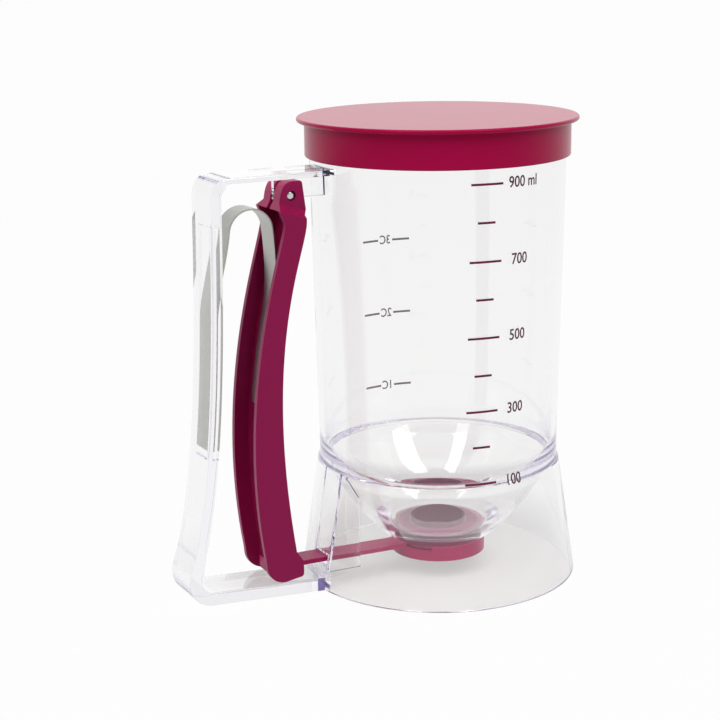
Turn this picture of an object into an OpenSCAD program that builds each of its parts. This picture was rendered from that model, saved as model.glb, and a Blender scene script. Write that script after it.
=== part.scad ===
// Batter dispenser: a clear jug on a flared base, emptied through a sliding
// valve under its bowl. A trigger hangs on a pin inside the handle, a leaf
// spring holds it shut, and a press-on lid covers the mouth.
// Millimetres, +Z up. The origin is the centre of the base ring, where it
// stands on the table, and the handle points to -X.

/* [Jug] */
// Height of the mouth above the table
jug_h = 191; // [170:1:210]
// Outer radius of the barrel at the mouth
mouth_r = 52.8; // [50:0.1:56]
// Outer radius of the barrel where the bowl begins
waist_r = 50.2; // [48:0.1:51]
// Wall of the barrel and the bowl
jug_wall = 2; // [1.5:0.1:3]
// Height at which the barrel ends and the round bowl begins
bowl_z = 59.7; // [56:0.1:64]

/* [Outlet] */
// Height of the flat underside of the outlet
outlet_z = 14.2; // [13:0.1:16]
// Radius of the outlet hole
outlet_r = 11.85; // [8:0.05:13]
// Thickness of the flat floor round the outlet
outlet_floor = 6.6; // [3:0.1:8]

/* [Base skirt] */
// Outer radius of the ring that stands on the table
foot_r = 58.4; // [56:0.1:64]
// Height at which the skirt meets the waist ring
skirt_h = 49.4; // [47:0.2:50]
// Outer radius of the skirt at that height
skirt_top_r = 51.1; // [50.8:0.1:53]
// Wall of the skirt
skirt_wall = 2; // [1.5:0.1:2.6]
// Height of the waist ring that joins skirt and bowl
waist_h = 1.6; // [1:0.1:3]
// Height of the window's lower edge, where the arm stops
window_sill = 9.8; // [9:0.1:11]
// Thickness of the two guide ribs beside the window
rib_t = 1.3; // [1:0.1:2]
// Distance of the ribs' free edges from the jug's axis
rib_inner = 41.3; // [38:0.1:46]
// Height of the ribs' lower ends
rib_z = 8; // [4:0.5:12]

/* [Handle] */
// Width of the handle's strap
handle_w = 19; // [16:0.5:24]
// Distance of the handle's outermost point from the jug's axis
handle_reach = 119.6; // [116:0.2:128]
// How far the grip bar's top stands in from that point
bar_lean = 17; // [15:0.5:19]
// Radius of the handle's upper corner
bar_corner_r = 6.9; // [5:0.1:8]
// Thickness of the upper arm
upper_arm_t = 2.3; // [2:0.1:4]
// Thickness of the grip bar
bar_t = 4.4; // [3.6:0.1:6]
// Thickness of the lower arm
lower_arm_t = 5.4; // [4:0.1:7]
// Height of the lower arm's middle at the skirt
lower_arm_z = 4; // [3.6:0.1:6]
// Rise of the lower arm from the skirt to the grip bar
lower_arm_rise = 3.6; // [0:0.1:5]
// Thickness of the hinge fin under the upper arm
fin_t = 2.2; // [1.6:0.1:4]
// Depth of the hinge fin at the jug
fin_depth = 8.7; // [6:0.1:12]

/* [Hinge] */
// Distance of the hinge pin from the jug's axis
pin_reach = 70; // [66:0.1:74]
// Radius of the hinge pin
pin_r = 1.95; // [1.5:0.05:2.4]
// Length of the hinge pin
pin_len = 13.6; // [12:0.1:16]
// Radius of the fin round the pin
fin_r = 4.5; // [3.6:0.1:5]
// Running clearance between the pin and its holes
pin_gap = 0.05; // [0.02:0.01:0.08]

/* [Trigger] */
// Width of the trigger across its flanges
trigger_w = 23; // [20:0.5:25]
// Width of the trigger's head across its ears
head_w = 14.6; // [12:0.1:18]
// Height of the head above the pin
head_top = 5.7; // [5:0.1:6.2]
// Thickness of each flange
flange_t = 2.2; // [1.6:0.1:3]
// Depth of the channel between the flanges
channel_depth = 6.3; // [4:0.1:7]
// Distance of the flanges' crest from the jug's axis
crest_reach = 90.2; // [88:0.1:93]
// How far the flanges bow towards the grip bar
crest_bow = 13.1; // [9:0.1:16]
// Depth of the trigger from the flanges' edges to its finger side
trigger_depth = 12.3; // [11:0.1:14]
// How far the finger side bows towards the grip bar
finger_bow = 14.9; // [11:0.1:17]
// Radius of the trigger's rounded lower corner
toe_r = 8; // [6:0.1:9]
// Radius of the corner under the arm's socket
heel_r = 1.8; // [1:0.1:2.8]

/* [Return spring] */
// Width of the spring leaf
spring_w = 11; // [8:0.5:12]
// Thickness of the spring leaf
spring_t = 0.7; // [0.5:0.1:1]
// Distance from the grip bar's upper end to the spring's bend
bar_to_bend = 6.7; // [5.5:0.1:8]
// Distance from the bend to the hinge pin
bend_to_pin = 7.3; // [6.5:0.1:8]
// How far below the pin the spring leaves the grip bar
leave_drop = 42.8; // [38:0.2:48]
// How far below the pin the spring meets the trigger
land_drop = 45.6; // [42:0.2:50]
// Depth of the groove in the grip bar that holds the spring
groove_depth = 1.7; // [1.2:0.1:2.2]
// Height at which the spring ends in the trigger
spring_end_z = 83; // [80:1:95]

/* [Valve] */
// Outer radius of the drip cup
cup_r = 20; // [18:0.1:22]
// Wall and floor of the drip cup
cup_wall = 1.9; // [1.4:0.1:2.4]
// Height of the drip cup's underside above the table
cup_z = 7.7; // [6.5:0.1:8.5]
// Angle to each side of the arm in which the rim is low
low_rim_angle = 52; // [30:1:80]
// Width of the arm
arm_w = 10; // [8:0.5:12]
// Thickness of the arm
arm_t = 1.9; // [1.5:0.1:2.2]
// Radius of the seal
seal_r = 17.4; // [15:0.1:17.7]
// Thickness of the seal
seal_t = 2.5; // [2:0.1:3]

/* [Lid] */
// Outer radius of the lid's disc
lid_r = 57.5; // [56:0.1:62]
// Thickness of the lid's disc
lid_t = 1.9; // [1.6:0.1:3]
// Depth of the lid's skirt below its disc
lid_depth = 13.8; // [10:0.1:18]
// Wall of the lid's skirt
lid_wall = 1.2; // [1:0.1:2]

/* [Clearances] */
// Gap between faces that slide or seat on one another
seat_gap = 0.1; // [0.05:0.05:0.2]
// Gap round parts that move past one another
side_gap = 0.3; // [0.2:0.05:0.5]

/* [Hidden] */
$fn = 96;
big = 400;                              // larger than the whole object

clear = [0.86, 0.90, 0.94, 0.35];
magenta = [0.62, 0.05, 0.30];
rose = [0.78, 0.42, 0.58];
steel = [0.75, 0.75, 0.72];

// Heights that follow from the lid and the hinge
lid_skirt_z = jug_h - lid_depth;
arm_clear = 1.8;                        // from the lid's skirt to the handle
head_clear = 1.1;                       // from the handle to the trigger's head
upper_arm_z = lid_skirt_z - arm_clear - upper_arm_t / 2;
arm_under_z = upper_arm_z - upper_arm_t / 2;
pin_x = -pin_reach;
pin_z = arm_under_z - head_clear - head_top;

// Heights that follow from the outlet
seal_gap = 0.05;
seal_z = outlet_z - seal_gap - seal_t;
rim_z = outlet_z - 0.7;                 // high part of the drip cup's rim
low_rim_z = rim_z - 1.6;
strip_top_z = outlet_z + 0.4;           // the arm's top where it leaves the trigger
strip_end_z = rim_z;                    // and where it enters the drip cup
window_head = strip_top_z + side_gap;
socket_gap = 0.1;

// Shapes made of points -----------------------------------------------------

curve_steps = 40;                       // straight pieces in each long curve

function arc(c, r, a0, a1, n) =
    [for (i = [0:n]) let (a = a0 + (a1 - a0) * i / n) c + r * [cos(a), sin(a)]];

function bezier_at(p, t) =
    pow(1 - t, 3) * p[0] + 3 * t * pow(1 - t, 2) * p[1]
    + 3 * t * t * (1 - t) * p[2] + pow(t, 3) * p[3];

function bezier(p, t0, t1, n) =
    [for (i = [0:n]) bezier_at(p, t0 + (t1 - t0) * i / n)];

function unit(v) = v / norm(v);
function left_of(v) = [-v[1], v[0]];

// Direction of a path at its point i
function heading(path, i) =
    unit(path[min(i + 1, len(path) - 1)] - path[max(i - 1, 0)]);

// The path moved sideways, to its left by d (one value or one for each point)
function beside(path, d) =
    [for (i = [0:len(path) - 1])
        path[i] + left_of(heading(path, i)) * (is_list(d) ? d[i] : d)];

function reversed(list) = [for (i = [len(list) - 1:-1:0]) list[i]];

// A strip along a path, whose two edges lie at the distances a and b from it
module strip(path, a, b) {
    polygon(concat(beside(path, a), reversed(beside(path, b))));
}

// A profile drawn in X and Z, given a width along Y about the middle plane
module slab(width) {
    translate([0, width / 2, 0]) rotate([90, 0, 0])
        linear_extrude(width) children();
}

// Outer faces that the handle ends on
module barrel_outside(z0) {
    slope = (mouth_r - waist_r) / (jug_h - bowl_z);
    translate([0, 0, z0])
        cylinder(h = jug_h - z0, r1 = waist_r + slope * (z0 - bowl_z), r2 = mouth_r);
}

module skirt_outside() cylinder(h = skirt_h, r1 = foot_r, r2 = skirt_top_r);

// Jug -----------------------------------------------------------------------

module barrel() {
    color(clear) difference() {
        barrel_outside(bowl_z);
        translate([0, 0, bowl_z])
            cylinder(h = jug_h - bowl_z + 0.01, r1 = waist_r - jug_wall,
                     r2 = mouth_r - jug_wall);
    }
}

// The bowl, its thick flat outlet and the ring round its waist. Outside, the
// barrel's wall goes straight on down to the ring
module bowl() {
    ring_z = skirt_h + waist_h;
    color(clear) difference() {
        union() {
            translate([0, 0, bowl_z]) sphere(r = waist_r);
            translate([0, 0, ring_z]) cylinder(h = bowl_z - ring_z, r = waist_r);
            translate([0, 0, skirt_h])
                cylinder(h = waist_h, r1 = skirt_top_r, r2 = waist_r);
        }
        intersection() {
            translate([0, 0, bowl_z]) sphere(r = waist_r - jug_wall);
            translate([0, 0, outlet_z + outlet_floor]) cylinder(h = big, r = big / 2);
        }
        translate([0, 0, bowl_z]) cylinder(h = big, r = big / 2);
        translate([0, 0, outlet_z - big]) cylinder(h = big, r = big / 2);
        translate([0, 0, outlet_z - 1])
            cylinder(h = outlet_floor + 2, r = outlet_r);
    }
}

// The flared base, with the arm's window between two guide ribs
module skirt() {
    window_w = arm_w + 4 * side_gap;
    color(clear) difference() {
        union() {
            difference() {
                skirt_outside();
                translate([0, 0, -0.01])
                    cylinder(h = skirt_h + 0.02, r1 = foot_r - skirt_wall,
                             r2 = skirt_top_r - skirt_wall);
            }
            intersection() {
                skirt_outside();
                for (side = [-1, 1])
                    translate([-foot_r, side * (window_w + rib_t) / 2 - rib_t / 2, rib_z])
                        cube([foot_r - rib_inner, rib_t, skirt_h - rib_z]);
            }
        }
        translate([0, 0, bowl_z]) sphere(r = waist_r + seat_gap);
        translate([-foot_r - 1, -window_w / 2, window_sill])
            cube([foot_r - rib_inner, window_w, window_head - window_sill]);
    }
}

// Handle --------------------------------------------------------------------

root = 4;                               // how far the arms' ends reach into the jug
swell_z = 26;                           // below this height the bar grows thicker
swell = 0.09;                           // growth to each side, per millimetre

// The grip bar's middle line, from its upper corner to its lower corner
bar_top = [-handle_reach + bar_lean, pin_z + 0.5];
bar_foot = [-handle_reach + 3.4, 18];
bar_curve = [bar_top, bar_top + [-0.6, -57], bar_foot + [11.2, 38], bar_foot];

function handle_path() =
    let (lower_start = [-foot_r + root, lower_arm_z],
         lower_end = [-handle_reach + 12.5, lower_arm_z + lower_arm_rise])
    concat([[-waist_r + root, upper_arm_z]],
           arc([bar_top[0] + bar_corner_r, upper_arm_z - bar_corner_r], bar_corner_r,
               90, 180, 10),
           bezier(bar_curve, 0, 1, curve_steps),
           bezier([bar_foot, bar_foot + [-1.4, -4.8], lower_end - [7.5, 0.5], lower_end],
                  0.08, 1, 12),
           [lower_start]);

// Half the strap's thickness at each point of that path
function handle_half(path) =
    [for (p = path)
        p[1] > upper_arm_z - 1 ? upper_arm_t / 2
        : max(bar_t / 2, min(lower_arm_t / 2, bar_t / 2 + (swell_z - p[1]) * swell))];

// The part of the grip bar's middle line that the spring lies along
function groove_path() = bezier(bar_curve, 0.06, 0.64, 24);

module handle() {
    path = handle_path();
    half = handle_half(path);
    fin_end = pin_x - fin_r;
    bite = 0.4;                         // overlap of the fin and the arm
    color(clear) difference() {
        union() {
            slab(handle_w) strip(path, half, -half);
            slab(fin_t) {
                translate([pin_x, pin_z]) circle(r = fin_r);
                translate([fin_end, arm_under_z - fin_depth])
                    square([-waist_r + root - fin_end, fin_depth + bite]);
            }
        }
        barrel_outside(bowl_z);
        skirt_outside();
        // groove for the spring, open towards the jug
        slab(spring_w + 2 * side_gap)
            strip(groove_path(), bar_t / 2 + 3, bar_t / 2 - groove_depth);
        translate([pin_x, handle_w, pin_z]) rotate([90, 0, 0])
            cylinder(h = 2 * handle_w, r = pin_r + pin_gap);
    }
}

module hinge_pin() {
    color(steel) translate([pin_x, pin_len / 2, pin_z]) rotate([90, 0, 0])
        cylinder(h = pin_len, r = pin_r);
}

// Trigger -------------------------------------------------------------------

shoulder_drop = 7.1;                    // from the pin to where the flanges end
shoulder_rise = 3.2;                    // height of the slope from there to the head
shoulder_tilt = 16;                     // the shoulders lie lower at the finger side
channel_top = pin_z - 5.2;
foot_z = strip_top_z + 5.4;             // lower end of the two long curves
finger_x = -crest_reach + trigger_depth;
heel_x = finger_x + 7.9;                // face that the arm comes out of

// Open side of the flanges, from the foot up
open_low = [-crest_reach + 3.6, foot_z];
open_top = [pin_x - 5.1, pin_z - 9.3];
open_curve = [open_low, open_low + [-crest_bow, 0.56 * (open_top - open_low)[1]],
              open_top + [3.6, -2.8], open_top];

// Finger side, from the head down
finger_low = [finger_x + 4.9, foot_z + 1.5];
finger_top = [pin_x + 4.3, pin_z - 7.6];
finger_curve = [finger_top, finger_top + [2.9, -10.6],
                finger_low + [-finger_bow, 0.69 * (finger_top - finger_low)[1]],
                finger_low];

toe = [-crest_reach + toe_r + 3.9, strip_top_z - 5 + toe_r];

// Head, from the flanges' shoulder round the top to the finger side
function head_points() =
    let (brow_r = 1.2, brow = [pin_x + 4.8 - brow_r, pin_z + head_top - brow_r],
         cheek = [pin_x - 5.2, pin_z - 2.4])
    concat([[pin_x - 6.8, pin_z - 5.3]],
           bezier([cheek, cheek + [0.6, 4.2], [pin_x - 3.4, pin_z + head_top],
                   [pin_x + 0.4, pin_z + head_top]], 0, 1, 12),
           arc(brow, brow_r, 90, 8, 6),
           [[pin_x + 6.2, pin_z - 5.8]]);

// Side view of the trigger
module trigger_outline() {
    polygon(concat(
        bezier(open_curve, 0, 1, curve_steps),
        head_points(),
        bezier(finger_curve, 0, 1, curve_steps),
        [[heel_x, strip_top_z + 2.6]],
        arc([heel_x - heel_r, strip_top_z - 2.4], heel_r, 0, -55, 5),
        arc(toe, toe_r, 270, 184, 12)));
}

// Floor of the channel, from the foot to the head
function channel_floor() =
    beside(bezier(open_curve, 0, 1, curve_steps), -channel_depth);

module channel() {
    floor_line = channel_floor();
    outside = -crest_reach - 5;
    slab(trigger_w - 2 * flange_t) polygon(concat(
        [[outside, 0], [floor_line[0][0], 0]], floor_line,
        [[floor_line[curve_steps][0], channel_top], [outside, channel_top]]));
}

// Waste beside the narrower head, down to its sloping shoulders
module beside_head() {
    translate([pin_x, 0, pin_z]) rotate([0, shoulder_tilt, 0])
        translate([-trigger_w, 0, -shoulder_drop]) rotate([90, 0, 90])
            linear_extrude(2 * trigger_w) for (side = [-1, 1]) polygon([
                [side * head_w / 2, shoulder_rise], [side * trigger_w / 2, 0],
                [side * trigger_w, 0], [side * trigger_w, trigger_w],
                [side * head_w / 2, trigger_w]]);
}

module trigger_lever() {
    color(magenta) difference() {
        slab(trigger_w) trigger_outline();
        beside_head();
        channel();
        // slot for the hinge fin
        slab(fin_t + 2 * side_gap) translate([pin_x - big / 2, channel_top - 1])
            square([big, big]);
        // socket for the arm
        slab(arm_w + 2 * socket_gap)
            translate([-crest_reach, strip_top_z - arm_t - socket_gap])
                square([crest_reach, arm_t + 2 * socket_gap]);
        translate([pin_x, trigger_w, pin_z]) rotate([90, 0, 0])
            cylinder(h = 2 * trigger_w, r = pin_r + pin_gap);
    }
}

// Return spring -------------------------------------------------------------

bend_left = -handle_reach + bar_lean + bar_to_bend;
bend_right = pin_x - bend_to_pin;
spring_bend_r = (bend_right - bend_left) / 2;
bend = [(bend_left + bend_right) / 2, pin_z - 1.45 * spring_bend_r];
leave_z = pin_z - leave_drop;           // where the leaf leaves the grip bar
land_z = pin_z - land_drop;             // and where it meets the trigger

// Share of the flanges' curve that lies below a height
function curve_share(z) =
    lookup(z, [for (i = [0:curve_steps])
        let (t = i / curve_steps) [bezier_at(open_curve, t)[1], t]]);

// Direction in which an arc runs at an angle, and against its turn
function arc_heading(a) = [sin(a), -cos(a)];

// Middle line of the leaf: up the grip bar, over the bend, down the trigger
function spring_path() =
    let (lie = bar_t / 2 - groove_depth + spring_t / 2 + seat_gap,
         leg = beside(reversed([for (p = groove_path()) if (p[1] < leave_z) p]), -lie),
         leg_top = leg[len(leg) - 1],
         bend_start = 174, bend_end = 8,
         rise = arc(bend, spring_bend_r, bend_start, bend_end, 24),
         drop = rise[len(rise) - 1],
         lean = channel_depth - spring_t / 2 - seat_gap,
         down = beside(bezier(open_curve, curve_share(land_z),
                              curve_share(spring_end_z), 8), lean))
    concat([for (i = [1:len(leg) - 1]) leg[i]],
           bezier([leg_top, leg_top + 0.8 * spring_bend_r * heading(leg, len(leg) - 1),
                   rise[0] - spring_bend_r * arc_heading(bend_start), rise[0]],
                  0.1, 0.9, 10),
           rise,
           bezier([drop, drop + spring_bend_r * arc_heading(bend_end),
                   down[0] - 1.2 * spring_bend_r * heading(down, 0), down[0]],
                  0.1, 0.9, 10),
           down);

module return_spring() {
    color(steel) slab(spring_w)
        strip(spring_path(), spring_t / 2, -spring_t / 2);
}

// Valve ---------------------------------------------------------------------

// Arm and drip cup in one moulding; its tail hooks into the trigger
module valve_arm() {
    boss_r = 9;
    tongue_x = -max(seal_r + side_gap, cup_r - cup_wall);
    tail_x = channel_floor()[0][0] - seat_gap;
    tail_h = 2.4;
    low_z = strip_top_z - arm_t;
    bend_x = heel_x + 7;                // where the arm begins to slope down
    slope_x = -cup_r - 4;               // and where it runs level into the cup
    color(magenta) difference() {
        union() {
            translate([0, 0, cup_z]) cylinder(h = rim_z - cup_z, r = cup_r);
            slab(arm_w) polygon([
                [tail_x - arm_t, low_z], [bend_x, low_z], [slope_x, low_rim_z - 0.2],
                [-cup_r + 1, low_rim_z - 0.2], [-cup_r + 1, rim_z], [slope_x, strip_end_z],
                [bend_x, strip_top_z], [tail_x, strip_top_z], [tail_x, strip_top_z + tail_h],
                [tail_x - arm_t, strip_top_z + tail_h]]);
        }
        difference() {
            translate([0, 0, cup_z + cup_wall]) cylinder(h = big, r = cup_r - cup_wall);
            // boss under the seal and the tongue that carries it to the arm
            cylinder(h = seal_z, r = boss_r);
            slab(arm_w) translate([-cup_r, 0])
                square([cup_r + tongue_x, rim_z]);
            slab(arm_w) translate([-cup_r, 0]) square([cup_r, low_rim_z - 1]);
        }
        // low part of the rim, to both sides of the arm
        difference() {
            translate([0, 0, low_rim_z]) intersection() {
                cylinder(h = big, r = cup_r + 1);
                linear_extrude(big) polygon(concat([[0, 0]],
                    arc([0, 0], 2 * cup_r, 180 - low_rim_angle, 180 + low_rim_angle, 8)));
            }
            slab(arm_w) translate([-cup_r - 5, 0]) square([cup_r + 5 + tongue_x, rim_z]);
        }
        // hole for the seal's stem
        translate([0, 0, cup_z + 1]) cylinder(h = big, r = stem_r + socket_gap);
    }
}

stem_r = 2.4;
stem_len = 2.6;

module valve_seal() {
    color(rose) {
        translate([0, 0, seal_z]) cylinder(h = seal_t, r = seal_r);
        translate([0, 0, seal_z - stem_len]) cylinder(h = stem_len + 0.1, r = stem_r);
    }
}

// Lid -----------------------------------------------------------------------

module lid() {
    inner_r = mouth_r + side_gap;
    color(magenta) {
        translate([0, 0, jug_h + seat_gap]) rotate_extrude() {
            square([lid_r - lid_t / 2, lid_t]);
            translate([lid_r - lid_t / 2, lid_t / 2]) circle(d = lid_t, $fn = 32);
        }
        translate([0, 0, lid_skirt_z]) difference() {
            cylinder(h = lid_depth + seat_gap + 0.1, r = inner_r + lid_wall);
            translate([0, 0, -1]) cylinder(h = lid_depth + seat_gap + 1, r = inner_r);
        }
    }
}

barrel();
bowl();
skirt();
handle();
return_spring();
hinge_pin();
trigger_lever();
valve_arm();
valve_seal();
lid();
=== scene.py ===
import bpy
from math import asin, cos, pi, radians, sin, tan
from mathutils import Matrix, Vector


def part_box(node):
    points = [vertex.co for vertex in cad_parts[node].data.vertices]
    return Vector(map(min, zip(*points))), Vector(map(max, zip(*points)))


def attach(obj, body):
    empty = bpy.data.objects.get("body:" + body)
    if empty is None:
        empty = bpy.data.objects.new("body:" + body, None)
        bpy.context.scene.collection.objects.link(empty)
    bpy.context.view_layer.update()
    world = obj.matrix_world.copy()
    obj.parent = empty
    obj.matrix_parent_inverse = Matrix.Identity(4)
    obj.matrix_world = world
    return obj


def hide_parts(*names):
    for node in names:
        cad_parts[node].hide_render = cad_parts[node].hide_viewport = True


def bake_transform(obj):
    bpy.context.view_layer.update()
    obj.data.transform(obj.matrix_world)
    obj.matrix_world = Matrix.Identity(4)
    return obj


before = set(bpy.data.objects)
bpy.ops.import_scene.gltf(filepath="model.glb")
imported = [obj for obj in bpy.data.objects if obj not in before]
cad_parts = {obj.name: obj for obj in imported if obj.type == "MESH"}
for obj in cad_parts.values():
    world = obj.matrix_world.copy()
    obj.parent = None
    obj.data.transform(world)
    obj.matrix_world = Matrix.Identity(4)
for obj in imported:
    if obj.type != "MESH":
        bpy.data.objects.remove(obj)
bpy.ops.object.select_all(action="DESELECT")
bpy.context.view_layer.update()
span = {node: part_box(node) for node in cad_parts}
mm = 0.001
merge = 1e-6                             # points closer than this are one point
hair = 0.01 * mm                         # less than any gap between two pieces
flat = 0.3                               # degrees: CAD faces that bend by less are joined
print("frame loaded")


# Small helpers: selecting, editing, finishing


def choose(piece):
    bpy.ops.object.select_all(action="DESELECT")
    piece.select_set(True)
    bpy.context.view_layer.objects.active = piece


def added(name):
    piece = bpy.context.object
    piece.name = name
    piece.data.name = name
    return piece


def applyPlace(piece):
    choose(piece)
    bpy.ops.object.transform_apply(location=True, rotation=True, scale=True)


def applyModifier(piece, kind, **settings):
    choose(piece)
    modifier = piece.modifiers.new(kind.lower(), kind)
    for key, value in settings.items():
        setattr(modifier, key, value)
    bpy.ops.object.modifier_apply(modifier=modifier.name)


def combine(piece, tool, operation):
    applyModifier(piece, "BOOLEAN", object=tool, operation=operation, solver="EXACT")
    bpy.data.objects.remove(tool)


def roundEdges(piece, width, segments=3, angle=35):
    applyModifier(piece, "BEVEL", width=width, segments=segments,
                  limit_method="ANGLE", angle_limit=radians(angle))


def smooth(piece, angle=35):
    choose(piece)
    bpy.ops.object.shade_smooth_by_angle(angle=radians(angle))
    applyModifier(piece, "WEIGHTED_NORMAL", keep_sharp=True)     # flat walls stay flat


def cleanUp(piece, outward=True):
    choose(piece)
    bpy.ops.object.mode_set(mode="EDIT")
    bpy.ops.mesh.select_all(action="SELECT")
    bpy.ops.mesh.remove_doubles(threshold=merge)
    if outward:
        bpy.ops.mesh.normals_make_consistent(inside=False)
    bpy.ops.object.mode_set(mode="OBJECT")


def movePoints(piece, wanted, move):
    choose(piece)
    bpy.ops.object.mode_set(mode="EDIT")
    bpy.ops.mesh.select_mode(type="VERT")
    bpy.ops.mesh.select_all(action="DESELECT")
    bpy.ops.object.mode_set(mode="OBJECT")
    for point in piece.data.vertices:
        point.select = wanted(point.co)
    bpy.ops.object.mode_set(mode="EDIT")
    bpy.ops.transform.translate(value=move)
    bpy.ops.mesh.select_all(action="DESELECT")
    bpy.ops.object.mode_set(mode="OBJECT")


# Profiles: points (radius, height, rounding) in metres, rounded and then spun round Z


def roundCorners(points, steps=5):
    rounded = []
    for i, (x, z, rounding) in enumerate(points):
        corner = Vector((x, 0, z))
        if not rounding:
            rounded.append(corner)
            continue
        back = Vector((points[i - 1][0], 0, points[i - 1][1])) - corner
        ahead = points[(i + 1) % len(points)]
        ahead = Vector((ahead[0], 0, ahead[1])) - corner
        half = back.angle(ahead) / 2
        start = corner + back.normalized() * rounding / tan(half)
        stop = corner + ahead.normalized() * rounding / tan(half)
        inward = (back.normalized() + ahead.normalized()).normalized()
        middle = corner + inward * rounding / sin(half)
        for k in range(steps + 1):
            turned = (start - middle).slerp(stop - middle, k / steps)
            rounded.append(middle + turned.normalized() * rounding)
    return rounded


def spinProfile(name, points, closed=True, steps=160):
    bpy.ops.mesh.primitive_plane_add(size=mm)
    piece = added(name)
    bpy.ops.object.mode_set(mode="EDIT")
    bpy.ops.mesh.merge(type="CENTER")
    bpy.ops.transform.translate(value=points[0])
    route = points + points[:1] if closed else points
    for here, there in zip(route, route[1:]):
        bpy.ops.mesh.extrude_vertices_move(TRANSFORM_OT_translate={"value": there - here})
    bpy.ops.mesh.select_all(action="SELECT")
    bpy.ops.mesh.remove_doubles(threshold=merge)
    bpy.ops.mesh.spin(steps=steps, angle=2 * pi, center=(0, 0, 0), axis=(0, 0, 1))
    bpy.ops.object.mode_set(mode="OBJECT")
    cleanUp(piece)
    return piece


def cadCopy(node, name):
    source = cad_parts[node]
    piece = bpy.data.objects.new(name, source.data.copy())
    bpy.context.scene.collection.objects.link(piece)
    piece.data.materials.clear()
    choose(piece)
    bpy.ops.mesh.customdata_custom_splitnormals_clear()
    cleanUp(piece, outward=False)
    bpy.ops.object.mode_set(mode="EDIT")
    bpy.ops.mesh.select_all(action="SELECT")
    bpy.ops.mesh.dissolve_limited(angle_limit=radians(flat))
    bpy.ops.object.mode_set(mode="OBJECT")
    return piece


# Materials


def newMaterial(name):
    material = bpy.data.materials.new(name)
    material.use_nodes = True
    tree = material.node_tree
    return material, tree, tree.nodes["Principled BSDF"], tree.nodes["Material Output"]


def addNode(tree, kind, settings=(), **inputs):
    node = tree.nodes.new(kind)
    for key, value in dict(settings).items():
        setattr(node, key, value)
    for key, value in inputs.items():
        node.inputs[key.replace("_", " ")].default_value = value
    return node


def noise(tree, scale, detail=3, stretch=(1, 1, 1)):
    place = addNode(tree, "ShaderNodeTexCoord")
    mapping = addNode(tree, "ShaderNodeMapping", Scale=stretch)
    pattern = addNode(tree, "ShaderNodeTexNoise", Scale=scale, Detail=detail)
    tree.links.new(place.outputs["Object"], mapping.inputs["Vector"])
    tree.links.new(mapping.outputs["Vector"], pattern.inputs["Vector"])
    return pattern.outputs["Fac"]


def varied(tree, value, low, high):
    spread = addNode(tree, "ShaderNodeMapRange", To_Min=low, To_Max=high)
    tree.links.new(value, spread.inputs["Value"])
    return spread.outputs["Result"]


def bumped(tree, value, height, target):
    bump = addNode(tree, "ShaderNodeBump", Distance=height)
    tree.links.new(value, bump.inputs["Height"])
    tree.links.new(bump.outputs["Normal"], target.inputs["Normal"])


def mouldedPlastic(name, look):
    material, tree, shader, _ = newMaterial(name)
    blend = addNode(tree, "ShaderNodeMix", {"data_type": "RGBA"})
    blend.inputs[6].default_value = (*look["colour"], 1)
    blend.inputs[7].default_value = (*look["shade"], 1)
    tree.links.new(noise(tree, look["cloudScale"], 2), blend.inputs["Factor"])
    tree.links.new(blend.outputs[2], shader.inputs["Base Color"])
    grain = noise(tree, look["grainScale"])
    tree.links.new(varied(tree, grain, *look["roughness"]), shader.inputs["Roughness"])
    bumped(tree, grain, look["grainHeight"], shader)
    shader.inputs["IOR"].default_value = look["ior"]
    shader.inputs["Specular Tint"].default_value = (*look["gleam"], 1)
    return material


def clearPlastic(name, look):
    material, tree, shader, output = newMaterial(name)
    shader.inputs["Base Color"].default_value = (*look["colour"], 1)
    shader.inputs["Transmission Weight"].default_value = 1
    shader.inputs["IOR"].default_value = look["ior"]
    shader.inputs["Roughness"].default_value = look["roughness"]
    bumped(tree, noise(tree, look["waveScale"], 1), look["waveHeight"], shader)
    path = addNode(tree, "ShaderNodeLightPath")
    through = addNode(tree, "ShaderNodeBsdfTransparent", Color=(*look["shadow"], 1))
    mix = addNode(tree, "ShaderNodeMixShader")
    tree.links.new(path.outputs["Is Shadow Ray"], mix.inputs[0])
    tree.links.new(shader.outputs[0], mix.inputs[1])
    tree.links.new(through.outputs[0], mix.inputs[2])
    tree.links.new(mix.outputs[0], output.inputs["Surface"])
    depth = addNode(tree, "ShaderNodeVolumeAbsorption", Color=(*look["depthColour"], 1),
                    Density=look["depth"])
    tree.links.new(depth.outputs[0], output.inputs["Volume"])
    return material


def brushedSteel(name, look):
    material, tree, shader, _ = newMaterial(name)
    shader.inputs["Base Color"].default_value = (*look["colour"], 1)
    shader.inputs["Metallic"].default_value = 1
    lines = noise(tree, look["lineScale"], 4, look["stretch"])
    tree.links.new(varied(tree, lines, *look["roughness"]), shader.inputs["Roughness"])
    bumped(tree, lines, look["lineHeight"], shader)
    return material


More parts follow.
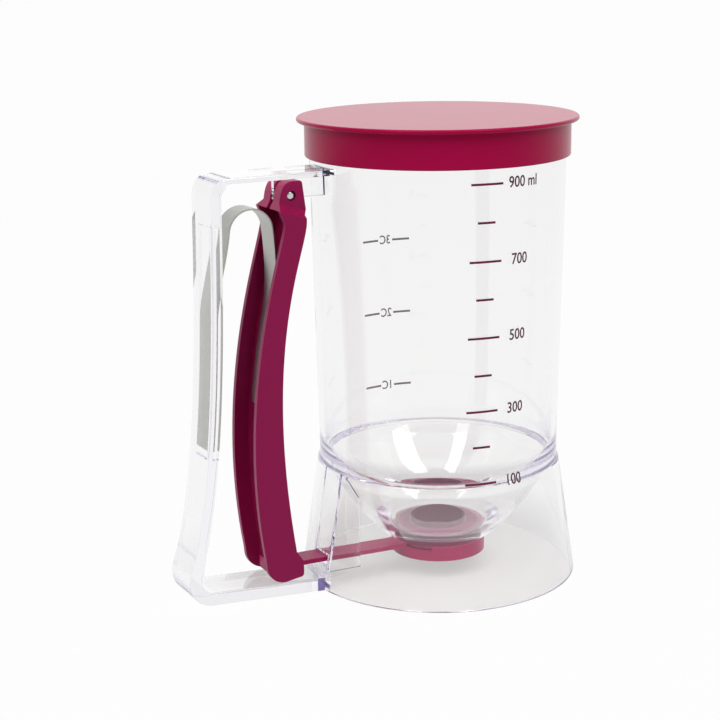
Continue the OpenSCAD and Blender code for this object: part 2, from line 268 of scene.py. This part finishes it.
finishes = {
    "clear": clearPlastic("clearStyrene", {
        "colour": (0.985, 0.985, 0.98), "shadow": (0.96, 0.96, 0.96), "ior": 1.5,
        "depthColour": (0.82, 0.79, 0.93), "depth": 13,
        "roughness": 0.0, "waveScale": 45, "waveHeight": 0.00004}),
    "lid": mouldedPlastic("magentaLid", {
        "colour": (0.40, 0.003, 0.057), "shade": (0.365, 0.003, 0.051), "cloudScale": 18,
        "grainScale": 900, "grainHeight": 0.000001, "roughness": (0.22, 0.27), "ior": 1.42,
        "gleam": (0.9, 0.1, 0.3)}),
    "lever": mouldedPlastic("magentaLever", {
        "colour": (0.275, 0.005, 0.06), "shade": (0.25, 0.005, 0.054), "cloudScale": 25,
        "grainScale": 1100, "grainHeight": 0.000003, "roughness": (0.28, 0.38), "ior": 1.42,
        "gleam": (0.9, 0.35, 0.9)}),
    # painted light: the lever's magenta made lighter for the arm, which sits in shade under
    # the jug
    "arm": mouldedPlastic("magentaArmPaintedLight", {
        "colour": (0.35, 0.006, 0.075), "shade": (0.32, 0.006, 0.068), "cloudScale": 25,
        "grainScale": 1100, "grainHeight": 0.000003, "roughness": (0.28, 0.38), "ior": 1.42,
        "gleam": (0.9, 0.35, 0.9)}),
    "seal": mouldedPlastic("roseSilicone", {
        "colour": (0.33, 0.02, 0.12), "shade": (0.30, 0.018, 0.105), "cloudScale": 60,
        "grainScale": 700, "grainHeight": 0.00002, "roughness": (0.4, 0.5), "ior": 1.42,
        "gleam": (1, 0.8, 0.9)}),
    # painted shade: the seal's rose made darker, for the sleeve that shades the outlet's
    # hole
    "paintedShadeSleeve": mouldedPlastic("roseSleevePaintedShade", {
        "colour": (0.15, 0.002, 0.06), "shade": (0.13, 0.002, 0.05), "cloudScale": 60,
        "grainScale": 700, "grainHeight": 0.00002, "roughness": (0.4, 0.5), "ior": 1.42,
        "gleam": (1, 0.8, 0.9)}),
    "print": mouldedPlastic("printedScale", {
        "colour": (0.16, 0.012, 0.06), "shade": (0.13, 0.012, 0.05), "cloudScale": 400,
        "grainScale": 2000, "grainHeight": 0.000004, "roughness": (0.4, 0.55), "ior": 1.45,
        "gleam": (0.6, 0.5, 0.5)}),
    "digits": mouldedPlastic("printedDigits", {
        "colour": (0.11, 0.04, 0.06), "shade": (0.09, 0.03, 0.05), "cloudScale": 400,
        "grainScale": 2000, "grainHeight": 0.000004, "roughness": (0.4, 0.55), "ior": 1.45,
        "gleam": (0.6, 0.5, 0.5)}),
    "spring": brushedSteel("brushedSpring", {
        "colour": (0.44, 0.44, 0.415), "lineScale": 60, "stretch": (1, 40, 1),
        "lineHeight": 0.00002, "roughness": (0.28, 0.42)}),
    "pin": brushedSteel("turnedPin", {
        "colour": (0.6, 0.6, 0.6), "lineScale": 200, "stretch": (1, 1, 1),
        "lineHeight": 0.00001, "roughness": (0.08, 0.16)}),
}


def finishPiece(piece, body, finish, slot, *nodes, angle=35):
    piece.data.materials.clear()
    piece.data.materials.append(finishes[finish])
    smooth(piece, angle)
    if body:
        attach(piece, body)
    if nodes:
        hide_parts(*nodes)
    print("made", piece.name)


# The clear jug: barrel, bowl, outlet, waist ring, skirt and handle are one moulding


jug = {
    "wall": 2 * mm,
    "waistRadius": 50.2 * mm,            # outside of the barrel where the bowl begins
    "skirtTopRadius": 51.1 * mm,
    "ringHeight": 1.6 * mm,
    "ringRounding": 4 * mm,
    "bowlTop": 61 * mm,
    "shoulderRadius": 30 * mm,           # the bowl's side: a shoulder, then a belly
    "shoulderTurn": 25,
    "bellyRadius": 95 * mm,
    "arcSteps": 14,
    "seamDepth": 1.6 * mm,               # below the ring, where the skirt leaves the bowl
    "seamRounding": 0.3 * mm,
    "outletRadius": 11.85 * mm,
    "outletFloor": 8.2 * mm,
    "plateRounding": 3 * mm,
    "rimRounding": 0.8 * mm,
    "edgeRounding": 0.5 * mm,
    "windowWidth": 11.2 * mm,
    "windowHeight": (9.8 * mm, 14.9 * mm),
    "windowCut": 5 * mm,                 # how far the cutter stands out of the foot
    "ribThickness": 1.3 * mm,
    "ribReach": 41.3 * mm,               # from the jug's axis to the ribs' free edges
    "ribFoot": 8 * mm,
    "ribRise": 1 * mm,                   # above the skirt's top
    "handleRounding": 1.3 * mm,
    "handleTouch": 0.1 * mm,             # points nearer than this to the wall are its ends
    "handleOverlap": 1 * mm,             # how far the handle's ends go into the wall
}


def bowlSide(inset, lowZ):
    turn = radians(jug["shoulderTurn"])
    small, large = jug["shoulderRadius"] - inset, jug["bellyRadius"] - inset
    shoulder = Vector((jug["waistRadius"] - jug["shoulderRadius"], jug["bowlTop"]))
    belly = shoulder + (small - large) * Vector((cos(turn), -sin(turn)))
    low = asin((belly.y - lowZ) / large)
    route = []
    arcs = ((shoulder, small, 0, turn), (belly, large, turn, low))
    for centre, radius, first, last in arcs:
        for k in range(jug["arcSteps"]):
            angle = first + (last - first) * k / jug["arcSteps"]
            route.append(centre + radius * Vector((cos(angle), -sin(angle))))
    route.append(belly + large * Vector((cos(low), -sin(low))))
    return [(point.x, point.y, 0) for point in route]


def jugProfile():
    mouth, foot = span["barrel"][1], span["skirt"][1]
    outletZ = span["bowl"][0].z
    wall, edge = jug["wall"], jug["edgeRounding"]
    outer, skirtTop = jug["waistRadius"], jug["skirtTopRadius"]
    floorZ = outletZ + jug["outletFloor"]
    seamZ = foot.z - jug["seamDepth"]
    outsideBowl = [point for point in reversed(bowlSide(0, outletZ)) if point[1] < seamZ]
    return roundCorners(
        [(mouth.x, mouth.z, jug["rimRounding"]),
         (mouth.x - wall, mouth.z, jug["rimRounding"])]
        + bowlSide(wall, floorZ)
        + [(jug["outletRadius"], floorZ, 0), (jug["outletRadius"], outletZ, edge)]
        + [(*outsideBowl[0][:2], jug["plateRounding"])] + outsideBowl[1:]
        + [(skirtTop - wall, foot.z, jug["seamRounding"]),
           (foot.x - wall, 0, edge), (foot.x, 0, edge),
           (skirtTop, foot.z, jug["ringRounding"]),
           (outer, foot.z + jug["ringHeight"], jug["ringRounding"]),
           (outer, jug["bowlTop"], 0)])


def skirtRadius(z):
    foot, top = span["skirt"][1].x, jug["skirtTopRadius"]
    return foot + (top - foot) * z / span["skirt"][1].z


def makeBox(name, low, high):
    middle = (Vector(low) + Vector(high)) / 2
    bpy.ops.mesh.primitive_cube_add(size=1, location=middle,
                                    scale=Vector(high) - Vector(low))
    box = added(name)
    applyPlace(box)
    return box


def makeRib(side):
    half = jug["ribThickness"] / 2
    middle = side * (jug["windowWidth"] / 2 + half)
    top = span["skirt"][1].z + jug["ribRise"]
    depth = jug["wall"] / 2
    rib = makeBox("rib", (-skirtRadius(0) + depth, middle - half, jug["ribFoot"]),
                  (-jug["ribReach"], middle + half, top))
    movePoints(rib, lambda co: co.x < -jug["ribReach"] - mm and co.z > top - mm,
               (skirtRadius(0) - skirtRadius(top), 0, 0))
    curve = [Vector((x, 0, z)) for x, z, _ in bowlSide(depth, jug["ribFoot"] + depth)]
    bowlSpace = [Vector((0, 0, curve[0].z))] + curve + [Vector((0, 0, curve[-1].z))]
    combine(rib, spinProfile("bowlSpace", bowlSpace, closed=False), "DIFFERENCE")
    return rib


def makeHandle():
    handle = cadCopy("handle", "handleStrap")
    barrelZ = span["barrel"][0].z
    mouth = span["barrel"][1]

    def onTheJug(co):
        reach = Vector((co.x, co.y)).length
        if co.z < barrelZ:
            return reach < skirtRadius(co.z) + jug["handleTouch"]
        rise = (co.z - barrelZ) / (mouth.z - barrelZ)
        outside = jug["waistRadius"] + (mouth.x - jug["waistRadius"]) * rise
        return reach < outside + jug["handleTouch"]

    movePoints(handle, onTheJug, (jug["handleOverlap"], 0, 0))
    roundEdges(handle, jug["handleRounding"], segments=4, angle=40)
    return handle


def makeJug():
    piece = spinProfile("clearJug", jugProfile())
    low, high = jug["windowHeight"]
    half = jug["windowWidth"] / 2
    reach = skirtRadius(0) + jug["windowCut"]
    combine(piece, makeBox("window", (-reach, -half, low), (-jug["ribReach"], half, high)),
            "DIFFERENCE")
    for side in (-1, 1):
        combine(piece, makeRib(side), "UNION")
    combine(piece, makeHandle(), "UNION")
    cleanUp(piece, outward=False)
    finishPiece(piece, "jug", "clear", "clear_plastic", "barrel", "bowl", "skirt",
                "handle", angle=30)


# The trigger and the valve: moulded pieces with rounded edges


mouldings = {
    "triggerLever": {
        "node": "trigger_lever", "finish": "lever", "slot": "magenta_plastic",
        "rounding": 0.3 * mm},
    "valveArm": {
        # the arm's finish holds painted light: it is lighter than the lever's
        "node": "valve_arm", "finish": "arm", "slot": "magenta_plastic",
        "rounding": 0.3 * mm},
    "valveSeal": {
        "node": "valve_seal", "finish": "seal", "slot": "seal_rubber",
        "rounding": 0.5 * mm,
        "press": 0.06 * mm},             # closes the gap that the CAD leaves over the seal
    "hingePin": {
        "node": "hinge_pin", "finish": "pin", "slot": "pin_steel",
        "rounding": 1.1 * mm},
}


def makeMouldings():
    for name, moulding in mouldings.items():
        node = moulding["node"]
        piece = cadCopy(node, name)
        roundEdges(piece, moulding["rounding"], angle=40)
        if "press" in moulding:
            top = span[node][1].z
            movePoints(piece, lambda co: co.z > top - hair, (0, 0, moulding["press"]))
        finishPiece(piece, "trigger", moulding["finish"], moulding["slot"], node, angle=30)


# Painted shade in the outlet: a thin dark rose sleeve inside the hole, so that the hole
# looks shaded


paintedShadeSleeve = {
    "wall": 0.6 * mm,
    "foot": 0.2 * mm,                    # above the outlet's underside
    "rounding": 0.25 * mm,
    "steps": 96,
}


def makePaintedShadeSleeve():
    outer = jug["outletRadius"] + hair             # bedded in the clear wall
    inner = outer - paintedShadeSleeve["wall"]
    low = span["bowl"][0].z + paintedShadeSleeve["foot"]
    high = span["bowl"][0].z + jug["outletFloor"]
    corners = [(outer, high), (inner, high), (inner, low), (outer, low)]
    piece = spinProfile("outletPaintedShade", roundCorners(
        [(x, z, paintedShadeSleeve["rounding"]) for x, z in corners]), steps=paintedShadeSleeve["steps"])
    finishPiece(piece, "jug", "paintedShadeSleeve", "seal_rubber")


# The return spring: a bent leaf between the jug and the trigger, left with neither body


spring = {
    "rounding": 0.15 * mm,
    "blendStart": (-91 * mm, 0, 154 * mm),    # where the leaf leaves the jug
    "blendEnd": (-76.1 * mm, 0, 151.3 * mm),  # where it reaches the trigger
}


def makeSpring():
    piece = cadCopy("return_spring", "springLeaf")
    roundEdges(piece, spring["rounding"], segments=2, angle=40)
    finishPiece(piece, None, "spring", "spring_steel", "return_spring", angle=30)
    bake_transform(piece)


# The lid: a thin disc with a deep skirt that presses over the mouth


lid = {
    "thickness": 1.9 * mm,
    "wall": 1.2 * mm,
    "clearance": 0.3 * mm,               # round the mouth
    "rounding": 0.9 * mm,
    "skirtRounding": 0.4 * mm,
}


def makeLid():
    low, high = span["lid"]
    inner = span["barrel"][1].x + lid["clearance"]
    outer = inner + lid["wall"]
    underside = high.z - lid["thickness"]
    disc, skirt = lid["rounding"], lid["skirtRounding"]
    piece = spinProfile("lidCap", roundCorners([
        (0, high.z, 0), (high.x, high.z, disc), (high.x, underside, disc),
        (outer, underside, skirt), (outer, low.z, skirt), (inner, low.z, skirt),
        (inner, underside, skirt), (0, underside, 0)]), closed=False)
    finishPiece(piece, "lid", "lid", "magenta_plastic", "lid")


# The printed scale: marks, figures beside the long ones, and cups on the far wall


scale = {
    "marks": {900: 171.3, 800: 156.4, 700: 141.1, 600: 126.1, 500: 110.7, 400: 95.5,
              300: 80.8, 200: 66.0, 100: 50.8},
    "longMark": 13.3 * mm,
    "shortMark": 7.3 * mm,
    "markHeight": 0.9 * mm,
    "markSteps": 12,                     # so that a mark follows the round wall
    "markPolar": -100.5,                 # middle of the marks, in degrees round Z
    "figurePolar": -88,                  # left edge of the figures
    "figureSize": 6.2 * mm,
    "lean": 1.5,                         # degrees that the scale turns from foot to top
    "topFigure": -2.5,                   # degrees more for the long figure at the top
    "figureNarrowing": 0.85,
    "figureBoldness": 0.08 * mm,
    "cups": {"3C": 133.4, "2C": 100.7, "1C": 67.6},
    "cupPolar": 87,
    "cupMarkTurn": 8.5,                  # degrees from a cup's figure to its marks
    "cupMark": 8.2 * mm,
    "cupFigure": 5.4 * mm,
    "film": 0.06 * mm,
    "lift": 0.02 * mm,                   # off the wall
    "fold": 0.5 * mm,                    # between the cuts that let a film follow the ring
    "folds": range(-3, 7),               # counted from the skirt's top
    "standOff": 3 * mm,                  # where a flat film starts, off the wall
}


def wallRadius(z):
    low, mouth = span["barrel"]
    waist, skirtTop = jug["waistRadius"], span["skirt"][1].z
    if z < skirtTop:
        return skirtRadius(z)
    if z < skirtTop + jug["ringHeight"]:
        share = (z - skirtTop) / jug["ringHeight"]
        return jug["skirtTopRadius"] * (1 - share) + waist * share
    return waist + (mouth.x - waist) * max(0, (z - low.z) / (mouth.z - low.z))


def pressOn(piece, polar, z):
    turn = radians(polar)
    piece.rotation_euler = (pi / 2, 0, turn + pi / 2)
    distance = wallRadius(z) + scale["standOff"]
    piece.location = (distance * cos(turn), distance * sin(turn), z)
    applyPlace(piece)


def outsideAt(angle, z):
    inward = -Vector((cos(angle), sin(angle), 0))
    start = Vector((0, 0, z)) - 2 * jug["waistRadius"] * inward
    _, place, *_ = bpy.data.objects["clearJug"].ray_cast(
        start, inward, depsgraph=bpy.context.evaluated_depsgraph_get())
    return Vector((place.x, place.y)).length


def printFilm(piece, polar, finish):
    turn = radians(polar)
    bpy.ops.object.mode_set(mode="EDIT")           # folds where the wall has its ring
    for k in scale["folds"]:
        bpy.ops.mesh.select_all(action="SELECT")
        bpy.ops.mesh.bisect(plane_co=(0, 0, span["skirt"][1].z + k * scale["fold"]),
                            plane_no=(0, 0, 1))
    bpy.ops.object.mode_set(mode="OBJECT")
    for point in piece.data.vertices:
        along = Vector((-sin(turn), cos(turn), 0)).dot(point.co)
        angle = turn + along / wallRadius(point.co.z)
        reach = outsideAt(angle, point.co.z) + scale["lift"]
        point.co = (reach * cos(angle), reach * sin(angle), point.co.z)
    applyModifier(piece, "SOLIDIFY", thickness=scale["film"], offset=1)
    finishPiece(piece, "jug", finish, None)


def makeMark(name, polar, z, length, finish="print"):
    bpy.ops.mesh.primitive_grid_add(x_subdivisions=scale["markSteps"], y_subdivisions=1,
                                    size=1)
    piece = added(name)
    piece.scale = (length, scale["markHeight"], 1)
    pressOn(piece, polar, z)
    printFilm(piece, polar, finish)


def makeFigure(name, words, polar, z, size, align):
    bpy.ops.object.text_add()
    text = bpy.context.object
    text.data.body = words
    text.data.size = size
    text.data.align_x = align
    text.data.align_y = "CENTER"
    text.data.resolution_u = 4
    text.data.offset = scale["figureBoldness"]
    text.scale.x = scale["figureNarrowing"]
    bpy.ops.object.convert(target="MESH")
    piece = added(name)
    pressOn(piece, polar, z)
    printFilm(piece, polar, "digits")


def makeScale():
    least, most = min(scale["marks"]), max(scale["marks"])
    for k, (volume, height) in enumerate(scale["marks"].items()):
        z = height * mm
        long, top = k % 2 == 0, k == 0             # every other mark, from the top one
        lean = scale["lean"] * (volume - least) / (most - least)
        makeMark(f"mark{volume}", scale["markPolar"] + lean, z,
                 scale["longMark"] if long else scale["shortMark"])
        if long:
            polar = scale["figurePolar"] + lean + (scale["topFigure"] if top else 0)
            words = f"{volume} ml" if top else f"{volume}"
            makeFigure(f"figure{volume}", words, polar, z, scale["figureSize"], "LEFT")
    for words, height in scale["cups"].items():
        z = height * mm
        makeFigure(f"cup{words}", words, scale["cupPolar"], z, scale["cupFigure"], "CENTER")
        for side in (-1, 1):
            polar = scale["cupPolar"] + side * scale["cupMarkTurn"]
            makeMark(f"cupMark{words}{'AB'[side > 0]}", polar, z, scale["cupMark"], "digits")


makeJug()
makeMouldings()
makePaintedShadeSleeve()
makeSpring()
makeLid()
makeScale()


# Floor, light and camera


studio = {
    "floorSize": 40,
    "floorColour": (0.53, 0.51, 0.5),
    "floorGlow": {                       # share of plain white; the last that fits counts
        "Is Glossy Ray": 0.9,
        "Is Transmission Ray": 0.45,
        "Is Camera Ray": 0.97},
    "paintedShadeRadius": (0.065, 0.12),        # metres from the axis: painted shade on the floor seen through the jug is full up to the first and gone from the second
    "farGlow": 0.89,
    "ceiling": (0.5, 0.48, 0.66),
    "backdropTop": 0.45,                 # sine of the height at which the backdrop ends
    "ceilingStart": 0.95,                # and of the height from which all is ceiling
    "backdropLight": 1.1,
    "roomLight": 0.4,                    # behind the camera
    "roomFade": (-0.8, -0.2),            # from backdrop to room, as cosines
    "throughPlastic": (0.9, 0.9, 0.89),
    "lamps": {"softRight": (0.24, -0.766, 1.25), "softLeft": (-0.736, -0.32, 1.25)},
    "lampAim": (0, 0, 0.1),
    "lampSize": (0.52, 1.3),
    "lampPower": 9,
    "camera": (-0.3523, -0.5981, 0.2644),
    "turn": (75.919, 0.727, -27.982),
    "lens": 84.87,
    "bounces": 160,                      # a clear wall guides light along itself
}


def makeFloor():
    bpy.ops.mesh.primitive_plane_add(size=studio["floorSize"])
    floor = added("floor")
    material, tree, shader, output = newMaterial("paleFloor")
    tree.nodes.remove(shader)
    matt = addNode(tree, "ShaderNodeBsdfDiffuse", Color=(*studio["floorColour"], 1))
    white = addNode(tree, "ShaderNodeEmission", Color=(1, 1, 1, 1), Strength=1)
    path = addNode(tree, "ShaderNodeLightPath")
    share = None
    for kind, glow in studio["floorGlow"].items():
        part = addNode(tree, "ShaderNodeMix", A=0, B=glow)
        tree.links.new(path.outputs[kind], part.inputs[0])
        if share:
            tree.links.new(share, part.inputs[2])
        if kind == "Is Transmission Ray":          # painted shade: the floor seen through the jug is greyer near it than behind it
            place = addNode(tree, "ShaderNodeTexCoord")
            reach = addNode(tree, "ShaderNodeVectorMath", {"operation": "LENGTH"})
            tree.links.new(place.outputs["Object"], reach.inputs[0])
            fade = addNode(tree, "ShaderNodeMapRange", From_Min=studio["paintedShadeRadius"][0],
                           From_Max=studio["paintedShadeRadius"][1], To_Min=glow,
                           To_Max=studio["farGlow"])
            tree.links.new(reach.outputs["Value"], fade.inputs["Value"])
            tree.links.new(fade.outputs["Result"], part.inputs[3])
        share = part.outputs[0]
    mix = addNode(tree, "ShaderNodeMixShader")
    tree.links.new(share, mix.inputs[0])
    tree.links.new(matt.outputs[0], mix.inputs[1])
    tree.links.new(white.outputs[0], mix.inputs[2])
    tree.links.new(mix.outputs[0], output.inputs["Surface"])
    floor.data.materials.append(material)


def makeWorld():
    world = bpy.data.worlds.new("studio")
    bpy.context.scene.world = world
    world.use_nodes = True
    tree = world.node_tree
    place = addNode(tree, "ShaderNodeTexCoord")
    height = addNode(tree, "ShaderNodeSeparateXYZ")
    tree.links.new(place.outputs["Generated"], height.inputs[0])
    sky = addNode(tree, "ShaderNodeValToRGB")      # white backdrop, greyer ceiling
    tree.links.new(height.outputs["Z"], sky.inputs[0])
    ramp = sky.color_ramp.elements
    ramp[0].position, ramp[1].position = 0, studio["ceilingStart"]
    ramp[0].color, ramp[1].color = (1, 1, 1, 1), (*studio["ceiling"], 1)
    ramp.new(studio["backdropTop"]).color = (1, 1, 1, 1)
    front = addNode(tree, "ShaderNodeVectorMath", {"operation": "DOT_PRODUCT"})
    front.inputs[1].default_value = Vector((*studio["camera"][:2], 0)).normalized()
    tree.links.new(place.outputs["Generated"], front.inputs[0])
    room = addNode(tree, "ShaderNodeMapRange", From_Min=studio["roomFade"][0],
                   From_Max=studio["roomFade"][1], To_Min=studio["backdropLight"],
                   To_Max=studio["roomLight"])
    tree.links.new(front.outputs["Value"], room.inputs["Value"])
    path = addNode(tree, "ShaderNodeLightPath")
    strength = room.outputs[0]
    colour = sky.outputs[0]
    shown = {"Is Transmission Ray": studio["throughPlastic"], "Is Camera Ray": (1, 1, 1)}
    for kind, plain in shown.items():
        tint = addNode(tree, "ShaderNodeMix", {"data_type": "RGBA"})
        tint.inputs[7].default_value = (*plain, 1)
        tree.links.new(path.outputs[kind], tint.inputs[0])
        tree.links.new(colour, tint.inputs[6])
        power = addNode(tree, "ShaderNodeMix", B=1)
        tree.links.new(path.outputs[kind], power.inputs[0])
        tree.links.new(strength, power.inputs[2])
        colour, strength = tint.outputs[2], power.outputs[0]
    background = tree.nodes["Background"]
    tree.links.new(colour, background.inputs["Color"])
    tree.links.new(strength, background.inputs["Strength"])


def makeLamp(name, place):
    bpy.ops.object.light_add(type="AREA", location=place)
    lamp = bpy.context.object
    lamp.name = name
    lamp.data.shape = "RECTANGLE"
    lamp.data.size, lamp.data.size_y = studio["lampSize"]
    lamp.data.energy = studio["lampPower"]
    aim = Vector(studio["lampAim"]) - Vector(place)
    lamp.rotation_euler = aim.to_track_quat("-Z", "Y").to_euler()


def makeCamera():
    bpy.ops.object.camera_add(location=studio["camera"])
    camera = bpy.context.object
    camera.rotation_euler = [radians(a) for a in studio["turn"]]
    camera.data.lens = studio["lens"]
    bpy.context.scene.camera = camera


makeFloor()
makeWorld()
for lampName, lampPlace in studio["lamps"].items():
    makeLamp(lampName, lampPlace)
makeCamera()


scene = bpy.context.scene
scene.view_settings.view_transform = "Standard"
scene.cycles.max_bounces = studio["bounces"]
scene.cycles.transmission_bounces = studio["bounces"]
scene.cycles.glossy_bounces = studio["bounces"]
scene.cycles.transparent_max_bounces = studio["bounces"]
print("studio set")
